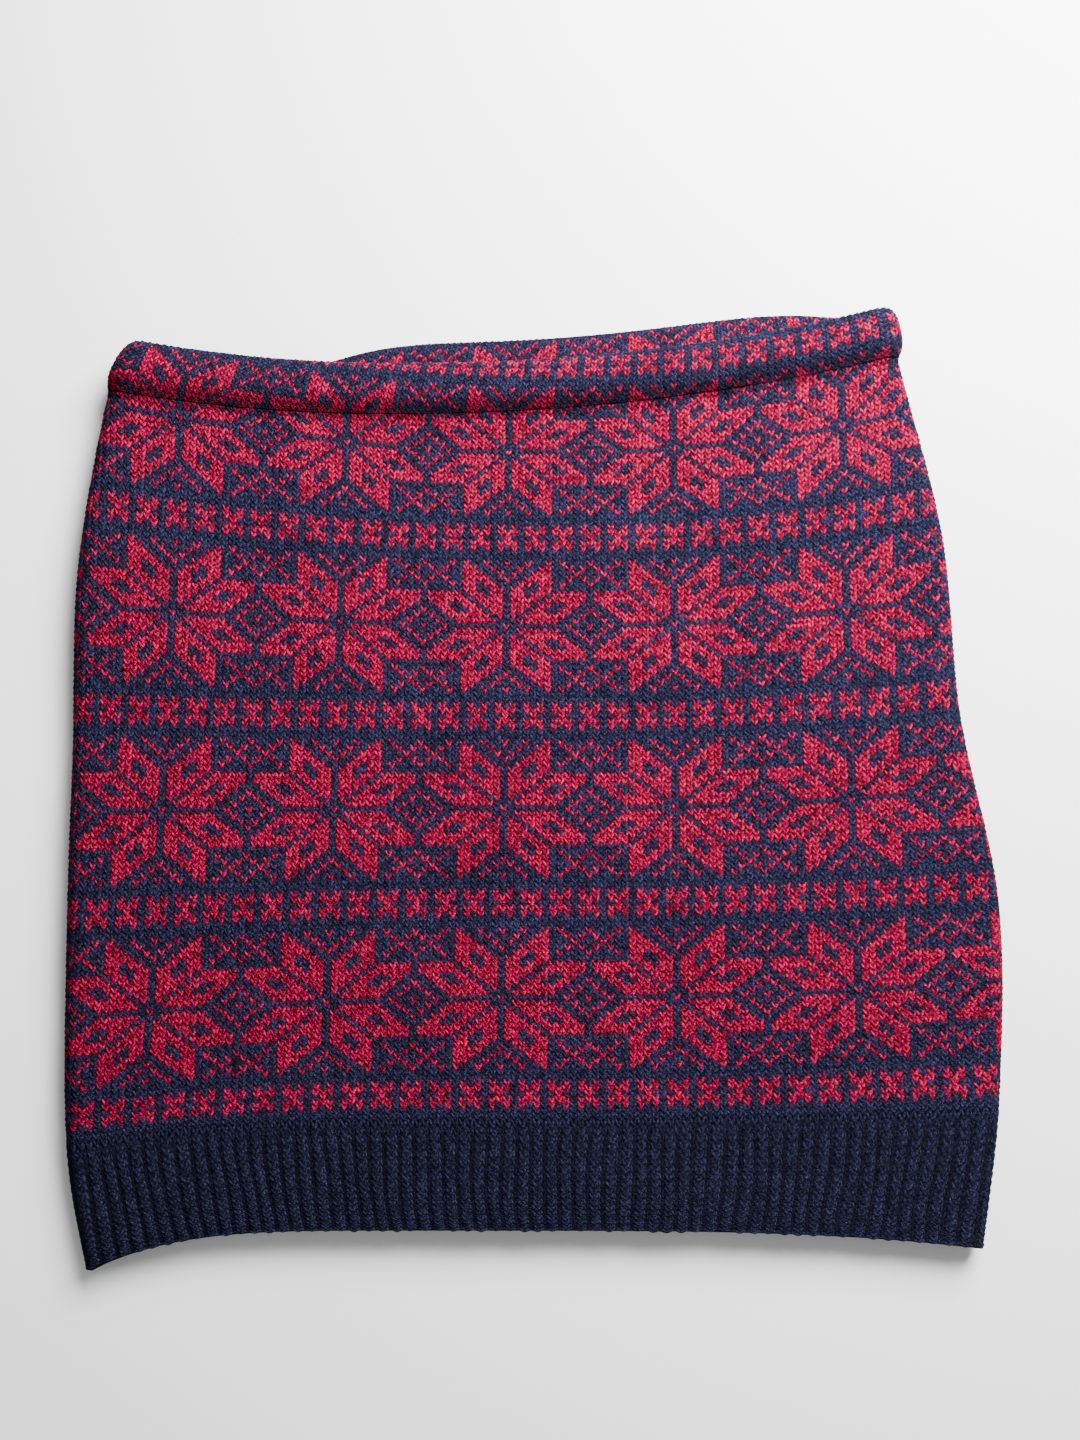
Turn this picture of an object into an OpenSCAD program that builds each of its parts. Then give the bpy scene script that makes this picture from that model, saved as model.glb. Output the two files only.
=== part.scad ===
// A knitted mini skirt lying flat: two knitted faces joined by side seams, a ribbed hem, and a turned-over
// waist casing with a band of elastic inside. Millimetres, +Y towards the waist, +Z up out of the front.

/* [Lengths, along the middle of the front] */
// Height of the ribbed hem
rib_h = 49.5; // [30:0.5:70]
// Length of the patterned body, from the rib to the waist seam
body_h = 344; // [240:1:420]
// Height of the waist casing, from the waist seam to the fold
casing_h = 29; // [24:0.5:45]

/* [Widths, laid flat] */
// Width at the bottom edge of the hem
hem_w = 409; // [330:1:480]
// Width where the rib meets the body
rib_top_w = 433; // [340:1:500]
// Widest part, a quarter of the way up the body
hip_w = 445; // [350:1:520]
// Width half way up the body
middle_w = 435; // [340:1:500]
// Width three quarters of the way up the body
high_w = 434; // [340:1:500]
// Width at the waist seam, gathered by the elastic
waist_w = 406; // [300:1:480]
// Width at the fold of the casing
fold_w = 393; // [290:1:470]

/* [How it lies] */
// How far the waist lies to the left of the hem
waist_shift = 13; // [0:0.5:25]
// How far the left end of the waist lies above its lowest point
waist_left_rise = 13.5; // [0:0.5:30]
// How far the right end of the waist lies above its lowest point
waist_right_rise = 32.5; // [0:0.5:45]
// How far the left corner of the hem hangs below its middle
hem_left_drop = 18; // [0:0.5:30]
// How far the right corner of the hem hangs below its middle
hem_right_drop = 8; // [0:0.5:30]
// How far the left end of the rib's top hangs below its middle
rib_left_drop = 11; // [0:0.5:20]
// How far the right end of the rib's top lies above its middle
rib_right_rise = 5; // [0:0.5:20]
// How far the back of the waist stands above the front in the middle
back_stand = 18; // [0:0.5:22]

/* [Knit and thickness] */
// Thickness of the knitted fabric
knit_t = 2.8; // [2:0.1:4]
// Full thickness of one waist casing
casing_t = 8.4; // [7.6:0.1:12]
// Clear room on each side of the elastic, in the middle of its casing
elastic_room = 0.8; // [0.6:0.1:1]
// Clear gap between the front and back casings
mouth_gap = 4.8; // [4.4:0.1:20]
// Clear gap between the two layers at the hem
hem_gap = 6.4; // [5:0.1:20]
// Sideways reach of the round turn at each side edge
edge_round = 9; // [6:0.5:14]

/* [Elastic and threads] */
// Width of the woven elastic band
elastic_w = 20; // [12:0.5:22]
// Thickness of the elastic band
elastic_t = 1.2; // [0.8:0.1:1.4]
// Gap where the two ends of the elastic meet
elastic_butt = 0.6; // [0.3:0.1:3]
// Radius of the side seam thread
seam_r = 0.8; // [0.4:0.1:1]
// Radius of the thread along the waist seam
casing_thread_r = 0.5; // [0.3:0.1:0.7]
// Radius of the thread that joins the ends of the elastic
join_thread_r = 0.22; // [0.15:0.01:0.3]

/* [Hidden] */

NAVY = [0.14, 0.16, 0.30];
RED = [0.72, 0.11, 0.23];
ELASTIC_WHITE = [0.86, 0.85, 0.82];

// Levels run up the skirt: 0 hem edge, 1 rib top, 2 to 4 quarters of the body, 5 waist seam, 6 fold.
// Distances up are measured from the middle of the rib's top.
RIB_LEVEL = 1;
WAIST_LEVEL = 5;
FOLD_LEVEL = 6;
BODY_LEVELS = WAIST_LEVEL - RIB_LEVEL;
BODY_SHARES = [for (level = [0 : BODY_LEVELS]) level / BODY_LEVELS];
LEVEL_W = [hem_w, rib_top_w, hip_w, middle_w, high_w, waist_w, fold_w];
LEVEL_SHIFT = [0.27, 0.2, 0.2, -0.42, -0.7, -1, -0.7] * waist_shift;
LEVEL_Y = concat([-rib_h], body_h * BODY_SHARES, [body_h + casing_h]);
LEFT_RISE = [for (share = BODY_SHARES) waist_left_rise * share - rib_left_drop * (1 - share)];
RIGHT_RISE = [for (share = BODY_SHARES) waist_right_rise * share + rib_right_rise * (1 - share)];
LEVEL_LEFT = concat([-hem_left_drop], LEFT_RISE, [waist_left_rise]);
LEVEL_RIGHT = concat([-hem_right_drop], RIGHT_RISE, [waist_right_rise]);
LEVEL_CURVE = [4, 2.4, 2.2, 2.1, 2.1, 2.1, 2.1];
LEVEL_STAND = [0, 0.05, 0.3, 0.5, 0.75, 1, 1] * back_stand;

// Heights of the middle of each layer of fabric. The back rests on the ground.
CASING_MID_BACK = casing_t / 2;
CASING_MID_FRONT = casing_t * 1.5 + mouth_gap;
BACK_MID = knit_t / 2;
HEM_MID = knit_t * 1.5 + hem_gap;
FRONT_RISE = CASING_MID_FRONT - HEM_MID;
LEVEL_FRONT = [for (share = [0, 0.22, 0.38, 0.53, 0.73, 1, 1]) HEM_MID + FRONT_RISE * share];
LEVEL_BACK = [for (share = [0, 0, 0, 0, 0.12, 1, 1]) BACK_MID + (CASING_MID_BACK - BACK_MID) * share];

// Where the origin stands, from the middle of the rib's top: the middle of the outline's box. The outline
// bulges a little between its levels, by the offset given here.
OUTLINE_BULGE = [-0.53, 0.06];
ORIGIN_X = OUTLINE_BULGE[0];
ORIGIN_Y = (LEVEL_Y[FOLD_LEVEL] + waist_right_rise + LEVEL_Y[0] - hem_left_drop) / 2 + OUTLINE_BULGE[1];

// The casing's section is an oval, cut flat at the waist seam where it is as thick as one layer of fabric.
CASING_HALF = casing_t / 2;
SEAM_SHARE = knit_t / casing_t;
OVAL_CUT = sqrt(1 - SEAM_SHARE * SEAM_SHARE);
OVAL_A = casing_h / (1 + OVAL_CUT);
OVAL_MID = OVAL_A * OVAL_CUT;

// Smooth value of a list of levels at a level between them, as a cubic through its neighbours.
function clamp_index(list, i) = list[max(0, min(len(list) - 1, i))];
function cubic(a, b, c, d, f) =
    b + f * ((c - a) / 2 + f * (a - 2.5 * b + 2 * c - d / 2 + f * ((d - a) / 2 + 1.5 * (b - c))));
function at_level(list, g) =
    let (i = max(0, min(len(list) - 2, floor(g))), f = g - i)
    cubic(clamp_index(list, i - 1), list[i], list[i + 1], clamp_index(list, i + 2), f);

// Height on the page of a course: lowest a little left of the middle, rising or hanging towards both ends.
LOW_POINT = -0.28;
function end_share(s) = s < LOW_POINT ? (LOW_POINT - s) / (1 + LOW_POINT) : (s - LOW_POINT) / (1 - LOW_POINT);
function course_y(s, g) =
    at_level(LEVEL_Y, g)
    + (s < LOW_POINT ? at_level(LEVEL_LEFT, g) : at_level(LEVEL_RIGHT, g))
    * pow(end_share(s), at_level(LEVEL_CURVE, g));
// The back stands above the front in the middle, and comes back to it smoothly at both side seams.
HUMP_MID = 0.15;
HUMP_LEFT = 0.75;
HUMP_RIGHT = 0.85;
function hump(s) =
    let (t = max(0, 1 - pow(abs(s - HUMP_MID) / (s < HUMP_MID ? HUMP_LEFT : HUMP_RIGHT), 3)))
    t * t * (3 - 2 * t);

// Stations across one face, from the left seam to the right: [turn angle, share of the straight part].
TURN_STEPS = 5;
STRAIGHT_STEPS = 24;
STATIONS = concat(
    [for (k = [0 : TURN_STEPS - 1]) [k * 90 / TURN_STEPS, 0]],
    [for (k = [0 : STRAIGHT_STEPS]) [90, k / STRAIGHT_STEPS]],
    [for (k = [TURN_STEPS - 1 : -1 : 0]) [k * 90 / TURN_STEPS, 1]]
);

// Point of a face at a station and level. side is 1 for the front and -1 for the back, out is the distance
// outwards from the middle of the fabric, and up is a further distance towards the waist.
function place(station, g, side, out = 0, up = 0) =
    let (
        half = at_level(LEVEL_W, g) / 2,
        front = at_level(LEVEL_FRONT, g),
        back = max(BACK_MID, at_level(LEVEL_BACK, g)),
        seam_z = (front + back) / 2,
        reach = (front - back) / 2,
        flat = 2 * (half - edge_round),
        turn = (edge_round + out) * cos(station[0]),
        x = (station[1] - 0.5) * flat + (station[1] < 0.5 ? -turn : turn),
        s = max(-1, min(1, x / half)),
        stand = side < 0 ? at_level(LEVEL_STAND, g) * hump(s) : 0
    )
    [
        x + at_level(LEVEL_SHIFT, g) - ORIGIN_X,
        course_y(s, g) + stand + up - ORIGIN_Y,
        seam_z + side * (reach + out) * sin(station[0])
    ];

// Rings of points up each stretch of fabric.
BODY_STEPS = 18;
RIB_STEPS = 4;

// A closed solid from rings of points: each ring joins the next, and the first and last are capped.
function quad(a, b, c, d) = [[a, b, c], [a, c, d]];
function ring_faces(rings, n, closed) = [
    for (i = [0 : rings - (closed ? 1 : 2)])
        for (k = [0 : n - 1])
            let (j = (i + 1) % rings, m = (k + 1) % n)
            each quad(i * n + k, i * n + m, j * n + m, j * n + k)
];
function strip_cap(first, n, flip) = [
    for (k = [0 : n / 2 - 2])
        let (q = quad(first + k, first + n - 1 - k, first + n - 2 - k, first + k + 1))
        each (flip ? [for (t = q) [t[0], t[2], t[1]]] : q)
];

// A stretch of fabric between two levels of one face. Each ring goes out over the outer skin, across
// the face, and back under the inner one, so that a neighbour made the same way meets it face to face.
module fabric(side, g_from, g_to, steps) {
    n = 2 * len(STATIONS);
    points = [
        for (i = [0 : steps])
            let (g = g_from + (g_to - g_from) * i / steps)
            each concat(
                [for (st = STATIONS) place(st, g, side, knit_t / 2)],
                [for (k = [len(STATIONS) - 1 : -1 : 0]) place(STATIONS[k], g, side, -knit_t / 2)]
            )
    ];
    faces = concat(ring_faces(steps + 1, n, false), strip_cap(0, n, false), strip_cap(steps * n, n, true));
    polyhedron(points, side < 0 ? faces : [for (f = faces) [f[0], f[2], f[1]]]);
}

// The casing's wall: an outer oval round an inner one, carried along the waist from seam to seam.
OVAL_STEPS = 18;
// The wall is one layer of fabric at the fold. In the middle it leaves the elastic its room.
INNER_A = OVAL_A - knit_t;
INNER_B = elastic_t / 2 + elastic_room;
CUT_ANGLE = acos(OVAL_CUT);
function outer_oval(k) =
    let (w = -180 + CUT_ANGLE + k * (360 - 2 * CUT_ANGLE) / (OVAL_STEPS - 1))
    [OVAL_MID + OVAL_A * cos(w), CASING_HALF * sin(w)];
function inner_oval(k) =
    let (w = -180 + CUT_ANGLE + k * (360 - 2 * CUT_ANGLE) / (OVAL_STEPS - 1))
    [OVAL_MID + INNER_A * cos(w), INNER_B * sin(w)];
function casing_point(station, side, offset) =
    let (
        seam = place(station, WAIST_LEVEL, side, side * offset[1]),
        fold = place(station, FOLD_LEVEL, side, side * offset[1])
    )
    seam + (fold - seam) * offset[0] / casing_h;

module casing(side) {
    n = OVAL_STEPS;
    count = len(STATIONS);
    outer = [for (st = STATIONS) for (k = [0 : n - 1]) casing_point(st, side, outer_oval(k))];
    inner = [for (st = STATIONS) for (k = [0 : n - 1]) casing_point(st, side, inner_oval(k))];
    last = count - 1;
    all = count * n;
    skins = concat(
        ring_faces(count, n, false),
        [for (f = ring_faces(count, n, false)) [all + f[0], all + f[2], all + f[1]]],
        [for (k = [0 : n - 1]) let (m = (k + 1) % n) each quad(k, all + k, all + m, m)],
        [
            for (k = [0 : n - 1])
                let (m = (k + 1) % n)
                each quad(last * n + m, all + last * n + m, all + last * n + k, last * n + k)
        ]
    );
    polyhedron(concat(outer, inner), [for (f = skins) [f[0], f[2], f[1]]]);
}

// The waist's whole round: over the front from left to right, then back along the underside.
function round_place(i, out, up) =
    let (count = len(STATIONS))
    i < count
    ? casing_point(STATIONS[i], 1, [up, out])
    : casing_point(STATIONS[2 * count - 2 - i], -1, [up, -out]);
ROUND_COUNT = 2 * len(STATIONS) - 2;
// The elastic's ends meet in the middle of the back.
BUTT_AT = len(STATIONS) + TURN_STEPS + STRAIGHT_STEPS / 2 - 1;
ELASTIC_LOW = OVAL_MID - elastic_w / 2;
ELASTIC_HIGH = OVAL_MID + elastic_w / 2;

module waist_elastic() {
    t = elastic_t / 2;
    corners = [[t, ELASTIC_LOW], [t, ELASTIC_HIGH], [-t, ELASTIC_HIGH], [-t, ELASTIC_LOW]];
    butt = [elastic_butt / 2, 0, 0];
    points = [
        for (k = [0 : ROUND_COUNT])
            let (i = (BUTT_AT + k) % ROUND_COUNT, nudge = k == 0 ? -butt : k == ROUND_COUNT ? butt : [0, 0, 0])
            each [for (c = corners) round_place(i, c[0], c[1]) + nudge]
    ];
    color(ELASTIC_WHITE)
        polyhedron(
            points,
            concat(
                ring_faces(ROUND_COUNT + 1, 4, false),
                strip_cap(0, 4, false),
                strip_cap(ROUND_COUNT * 4, 4, true)
            )
        );
}

// A round thread along a list of points, with six sides.
THREAD_SIDES = 6;
function unit(v) = v / norm(v);
function thread_ring(p, along, r) =
    let (a = unit(along), u = unit(cross(a, abs(a[2]) < 0.9 ? [0, 0, 1] : [1, 0, 0])), w = cross(a, u))
    [for (k = [0 : THREAD_SIDES - 1]) p + r * (u * cos(k * 60) + w * sin(k * 60))];
module thread(path, r, closed = false) {
    n = len(path);
    points = [
        for (i = [0 : n - 1])
            let (
                before = closed ? path[(i + n - 1) % n] : path[max(0, i - 1)],
                after = closed ? path[(i + 1) % n] : path[min(n - 1, i + 1)]
            )
            each thread_ring(path[i], after - before, r)
    ];
    last = (n - 1) * THREAD_SIDES;
    caps = [
        [for (k = [THREAD_SIDES - 1 : -1 : 0]) k],
        [for (k = [0 : THREAD_SIDES - 1]) last + k]
    ];
    sides = ring_faces(n, THREAD_SIDES, closed);
    faces = closed ? sides : concat(sides, caps);
    polyhedron(points, [for (f = faces) [for (k = [len(f) - 1 : -1 : 0]) f[k]]]);
}

// A zigzag over the inner face of the elastic, across the place where its ends meet.
ZIGZAG_TURNS = 8;
ZIGZAG_REACH = 3;
ZIGZAG_MARGIN = 3.5;
ZIGZAG_CLEAR = 0.05;
module elastic_join_thread() {
    middle = round_place(BUTT_AT, -elastic_t / 2 - join_thread_r - ZIGZAG_CLEAR, OVAL_MID);
    step = (elastic_w - 2 * ZIGZAG_MARGIN) / ZIGZAG_TURNS;
    color(ELASTIC_WHITE)
        thread(
            [
                for (k = [0 : ZIGZAG_TURNS])
                    middle + [k % 2 == 0 ? ZIGZAG_REACH : -ZIGZAG_REACH, (k - ZIGZAG_TURNS / 2) * step, 0]
            ],
            join_thread_r
        );
}

// The thread that links the front to the back along one side, just inside the edge and square to it.
// It turns at the same levels as the fabric's own rings, and stops just short of the casing.
SEAM_CLEAR = 0.35;
SEAM_TOP_LEVEL = WAIST_LEVEL - 0.1;
EDGE_STEP = 0.02;
SEAM_LEVELS = concat(
    [for (i = [0 : RIB_STEPS - 1]) i / RIB_STEPS],
    [for (i = [0 : BODY_STEPS - 1]) RIB_LEVEL + BODY_LEVELS * i / BODY_STEPS],
    [SEAM_TOP_LEVEL]
);
function seam_place(station, g) =
    let (
        inwards = station[1] < 0.5 ? 1 : -1,
        edge = unit(place(station, g + EDGE_STEP, 1) - place(station, max(0, g - EDGE_STEP), 1))
    )
    place(station, g, 1) + inwards * (knit_t / 2 + seam_r + SEAM_CLEAR) * [edge[1], -edge[0], 0];
module side_seam(station) color(NAVY) thread([for (g = SEAM_LEVELS) seam_place(station, g)], seam_r);
module left_side_seam() side_seam(STATIONS[0]);
module right_side_seam() side_seam(STATIONS[len(STATIONS) - 1]);

// The thread that fastens the turned-over edge, in the groove under the casing, right round the waist.
GROOVE_CLEAR = 0.3;
function groove_place(i) =
    let (
        count = len(STATIONS),
        front = i < count,
        station = STATIONS[front ? i : 2 * count - 2 - i],
        below = (casing_thread_r + GROOVE_CLEAR) / (body_h / BODY_LEVELS)
    )
    place(station, WAIST_LEVEL - below, front ? 1 : -1, knit_t / 2 + casing_thread_r + GROOVE_CLEAR);
module casing_seam_thread()
    color(NAVY) thread([for (i = [0 : ROUND_COUNT - 1]) groove_place(i)], casing_thread_r, closed = true);

module front_body() color(RED) fabric(1, RIB_LEVEL, WAIST_LEVEL, BODY_STEPS);
module back_body() color(RED) fabric(-1, RIB_LEVEL, WAIST_LEVEL, BODY_STEPS);
module front_hem_rib() color(NAVY) fabric(1, 0, RIB_LEVEL, RIB_STEPS);
module back_hem_rib() color(NAVY) fabric(-1, 0, RIB_LEVEL, RIB_STEPS);
module front_waist_casing() color(RED) casing(1);
module back_waist_casing() color(RED) casing(-1);

front_body();
back_body();
front_hem_rib();
back_hem_rib();
front_waist_casing();
back_waist_casing();
waist_elastic();
elastic_join_thread();
left_side_seam();
right_side_seam();
casing_seam_thread();
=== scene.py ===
"""A knitted mini skirt lying flat, with its elastic and seams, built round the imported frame."""

import math

import bpy
import numpy as np
from bpy.props import FloatProperty, FloatVectorProperty, PointerProperty
from bpy.types import Operator, Panel, PropertyGroup
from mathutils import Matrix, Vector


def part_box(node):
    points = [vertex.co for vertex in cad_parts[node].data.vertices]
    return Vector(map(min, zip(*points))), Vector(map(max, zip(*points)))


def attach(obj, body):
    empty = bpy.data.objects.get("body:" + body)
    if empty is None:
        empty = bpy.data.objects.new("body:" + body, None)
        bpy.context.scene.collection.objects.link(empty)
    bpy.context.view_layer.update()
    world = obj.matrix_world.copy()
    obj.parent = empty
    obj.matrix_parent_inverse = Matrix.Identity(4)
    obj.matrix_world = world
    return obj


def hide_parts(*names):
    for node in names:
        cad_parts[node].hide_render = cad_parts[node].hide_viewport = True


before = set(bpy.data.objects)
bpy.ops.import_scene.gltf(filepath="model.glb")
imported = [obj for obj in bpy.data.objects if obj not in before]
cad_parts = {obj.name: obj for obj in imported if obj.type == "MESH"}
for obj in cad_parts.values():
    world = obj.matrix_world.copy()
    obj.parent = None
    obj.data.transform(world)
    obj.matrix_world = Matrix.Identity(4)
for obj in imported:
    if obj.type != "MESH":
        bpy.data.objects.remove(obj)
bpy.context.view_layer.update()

bl_info = {
    "name": "Knitted skirt",
    "version": (1, 0, 0),
    "blender": (4, 5, 0),
    "location": "3D Viewport > Sidebar > Knitted skirt",
    "description": "Builds a stranded, star-patterned knitted skirt with a ribbed hem and an elastic waist",
    "category": "Add Mesh",
}

MM = 0.001  # lengths below are in millimetres

# ---------------------------------------------------------------------------------------------------------
# The knitting chart
# ---------------------------------------------------------------------------------------------------------

# One star, from its middle course (first row here) up to its tip, and from its middle wale out to the line
# between two stars. Both halves mirror. X is the red yarn.
STAR = (
    "X........X..X",
    "..XXXXXX..X..",
    ".X.XXXXXX..X.",
    ".XX.XX..XX..X",
    ".XXX.XX..XX..",
    ".XXXX.XXXXXX.",
    ".XX.XX.XXXXX.",
    ".XX..XX......",
    "..XX.XX.X...X",
    "X..XXXX..X.X.",
    ".X..XXX...X..",
    "..X..XX..X.X.",
    "X..X..X.X...X",
)
# The band of small crosses, from its outer course to its middle one. It also mirrors about the middle.
CROSS = ("X.X.", "XXX.", ".X..")
REPEAT_WALES = 24
REPEAT_COURSES = 34
HALF_CROSS_BAND = 2


def red_yarn(wale, course):
    """1 where a stitch is red, 0 where it is navy.

    The wale is folded onto the half star and the course onto the half repeat. The first courses read the
    star, the last ones the band of crosses, and the two courses between are plain navy.
    """
    w = np.mod(wale, REPEAT_WALES).astype(int)
    half = np.where(w > REPEAT_WALES // 2, REPEAT_WALES - w, w)
    c = np.mod(course, REPEAT_COURSES).astype(int)
    c = np.where(c > REPEAT_COURSES // 2, REPEAT_COURSES - c, c)
    star = np.array([[letter == "X" for letter in row] for row in STAR])
    cross = np.array([[letter == "X" for letter in row] for row in CROSS])
    band = REPEAT_COURSES // 2 - c
    from_star = star[np.minimum(c, len(STAR) - 1), half]
    from_band = cross[np.clip(HALF_CROSS_BAND - band, 0, HALF_CROSS_BAND), np.mod(w + 1, 4)]
    return np.where(c < len(STAR), from_star, (band <= HALF_CROSS_BAND) & from_band).astype(float)


# ---------------------------------------------------------------------------------------------------------
# How the skirt lies. Levels run up it: 0 hem edge, 1 rib top, 2 to 4 quarters of the body, 5 waist seam and
# 6 fold of the casing. These are the frame's own sizes, so that each new piece fills its node's space.
# ---------------------------------------------------------------------------------------------------------

RIB_LEVEL, WAIST_LEVEL, FOLD_LEVEL = 1, 5, 6
RIB_H, BODY_H, CASING_H = 49.5, 344.0, 29.0
LEVEL_UP = np.array([-RIB_H, 0, BODY_H / 4, BODY_H / 2, BODY_H * 0.75, BODY_H, BODY_H + CASING_H])
LEVEL_WIDTH = np.array([409.0, 433, 445, 435, 434, 406, 393])
LEVEL_SHIFT = 13 * np.array([0.27, 0.2, 0.2, -0.42, -0.7, -1, -0.7])
LEVEL_LEFT = np.concatenate([[-18], np.linspace(-11, 13.5, 5), [13.5]])
LEVEL_RIGHT = np.concatenate([[-8], np.linspace(5, 32.5, 5), [32.5]])
LEVEL_CURVE = np.array([4, 2.4, 2.2, 2.1, 2.1, 2.1, 2.1])
LEVEL_STAND = 18 * np.array([0, 0.05, 0.3, 0.5, 0.75, 1, 1])
KNIT_T = 2.8  # one layer of the knitting
CASING_T = 8.4  # the whole casing
LEVEL_FRONT = 10.6 + 6.8 * np.array([0, 0.22, 0.38, 0.53, 0.73, 1, 1])
LEVEL_BACK = KNIT_T / 2 + 2.8 * np.array([0, 0, 0, 0, 0.12, 1, 1])
EDGE_ROUND = 9.0  # how far in from each side seam a face starts to turn down
QUARTER_H = BODY_H / 4
ORIGIN = (-0.53, (LEVEL_UP[-1] + LEVEL_RIGHT[-1] + LEVEL_UP[0] + LEVEL_LEFT[0]) / 2 + 0.06)
LOW_POINT = -0.28  # where a level is lowest, as a share of the half width
HUMP_MID, HUMP_LEFT, HUMP_RIGHT = 0.15, 0.75, 0.85  # the back's hump, in the same share
HIGHEST_LEVEL = 6.9  # a search for a level ends here, a little past the fold
HALVINGS = 30
CORRECTIONS = 14
CORRECTION_SHARE = 0.9


def eased(t):
    """Smooth step from 0 to 1: three t squared less two t cubed."""
    t = np.clip(t, 0, 1)
    return t * t * (3 - 2 * t)


def at_level(levels, g):
    """Smooth value of a list of levels at g: a cubic through the four nearest."""
    i = np.clip(np.floor(g), 0, len(levels) - 2).astype(int)
    f = g - i
    a, b, c, d = (levels[np.clip(i + k, 0, len(levels) - 1)] for k in (-1, 0, 1, 2))
    return b + f * ((c - a) / 2 + f * (a - 2.5 * b + 2 * c - d / 2 + f * ((d - a) / 2 + 1.5 * (b - c))))


def level_y(x, g, side):
    """Distance up of a level at a distance across: the level's height, and its rise or drop towards its ends.

    The back adds a smooth hump, which stands above the front in the middle and meets it at both side seams.
    """
    s = np.clip((x - at_level(LEVEL_SHIFT, g) + ORIGIN[0]) / (at_level(LEVEL_WIDTH, g) / 2), -1, 1)
    left = s < LOW_POINT
    share = np.where(left, LOW_POINT - s, s - LOW_POINT) / np.where(left, 1 + LOW_POINT, 1 - LOW_POINT)
    rise = np.where(left, at_level(LEVEL_LEFT, g), at_level(LEVEL_RIGHT, g))
    y = at_level(LEVEL_UP, g) + rise * share ** at_level(LEVEL_CURVE, g) - ORIGIN[1]
    if side < 0:
        from_mid = np.abs(s - HUMP_MID) / np.where(s < HUMP_MID, HUMP_LEFT, HUMP_RIGHT)
        t = np.clip(1 - from_mid**3, 0, 1)
        y = y + at_level(LEVEL_STAND, g) * t * t * (3 - 2 * t)
    return y


def level_at(x, y):
    """Level of a place on the front, by halving the range that holds it."""
    low, high = np.zeros_like(x), np.full_like(x, HIGHEST_LEVEL)
    for _ in range(HALVINGS):
        middle = (low + high) / 2
        below = level_y(x, middle, 1) < y
        low, high = np.where(below, middle, low), np.where(below, high, middle)
    return (low + high) / 2


def profile(g):
    """Half width, shift, height of the side seam, and how far the front and back lie from it, at a level."""
    front, back = at_level(LEVEL_FRONT, g), np.maximum(KNIT_T / 2, at_level(LEVEL_BACK, g))
    width, shift = at_level(LEVEL_WIDTH, g) / 2, at_level(LEVEL_SHIFT, g) - ORIGIN[0]
    return width, shift, (front + back) / 2, (front - back) / 2


def turn_length(g):
    """Length of fabric in the round turn from one face to the side seam: a quarter of an ellipse."""
    half = profile(g)[3]
    return math.pi / 2 * np.sqrt((EDGE_ROUND**2 + half**2) / 2)


def station(across, g):
    """A distance across, measured along the fabric, as a share of the straight part and an angle of turn."""
    width, shift = profile(g)[:2]
    straight = width - EDGE_ROUND
    reach = across - shift
    share = np.clip(reach / straight, -1, 1)
    turn = np.clip((np.abs(reach) - straight) / turn_length(g), 0, 1) * math.pi / 2 * np.sign(reach)
    return share, turn


def place(share, turn, g, side, out, y=None):
    """A point of the fabric: straight across the middle, and on a quarter ellipse down to each side seam.

    out is the distance outwards from the middle of the fabric. Where y isn't given, the level's own is used.
    """
    width, shift, seam_z, half = profile(g)
    level_x = share * (width - EDGE_ROUND) + shift + EDGE_ROUND * np.sin(turn)
    x = level_x + out * np.sin(turn)
    z = seam_z + side * (half + out) * np.cos(turn)
    y = level_y(level_x, g, side) if y is None else y
    return np.stack(np.broadcast_arrays(x, y, z), -1)


# ---------------------------------------------------------------------------------------------------------
# Where the stitches lie. Wale 0 runs up through the middle star, and course 0 through a row of stars.
# ---------------------------------------------------------------------------------------------------------

WALE_PITCH = 3.42
COURSE_PITCH = 2.652
RIB_TOP_COURSE = -55.5
RIB_COURSES = 18
EASED_COURSES = 16  # courses over which the body takes up the line of the rib's top
WALES = np.arange(-140, 149) / 2  # two columns of points to a stitch
STAR_X, STAR_Y = -11.4, -25.1  # the middle star's centre
WALE_LEAN = 0.025  # to the right, in millimetres to a course
BOW_WALE = 5  # the wale from which the courses bow up
LAST_FAN = 84  # the course above which the wales fan out no more
END_WALE, END_COURSE = 62.0, 75.0  # where the searches for the side seams and the waist seam start


def flare(wales_out, reach, limit, power):
    """Growth towards the end of a course: 0 at its start, 1 at reach, and no more after limit."""
    return (np.clip(wales_out, 0, limit) / reach) ** power


def wale_x(wale, course):
    """Distance across of a stitch: an even pitch, fanning out a little at both ends of the course.

    The fans are in millimetres, and grow with the courses up to LAST_FAN. The wales lean a little rightwards.
    """
    up = np.clip(course, 0, LAST_FAN)
    fan_right = (6.6 + 0.035 * up) * flare(wale, 60, 66, 2.3)
    fan_left = (1.8 + 6.6 * (up / 68) ** 2) * flare(-wale, 60, 66, 4)
    return STAR_X + WALE_LEAN * course + WALE_PITCH * wale + fan_right - fan_left


def course_y(wale, course):
    """Distance up of a stitch on the front: an even pitch, with each course bowed towards its two ends.

    Each bow is in millimetres: a start, a growth with the course, and a growth with its square.
    """
    middle = STAR_Y + COURSE_PITCH * course + 0.0008 * np.minimum(course, 0) ** 2
    left = (-1.5 + 0.30 * course + 0.0019 * course**2) * flare(BOW_WALE - wale, 65, 70, 1.95)
    right = (8.1 + 0.12 * course + 0.0020 * course**2) * flare(wale - BOW_WALE, 55, 60, 2.3)
    return middle + left + right


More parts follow.
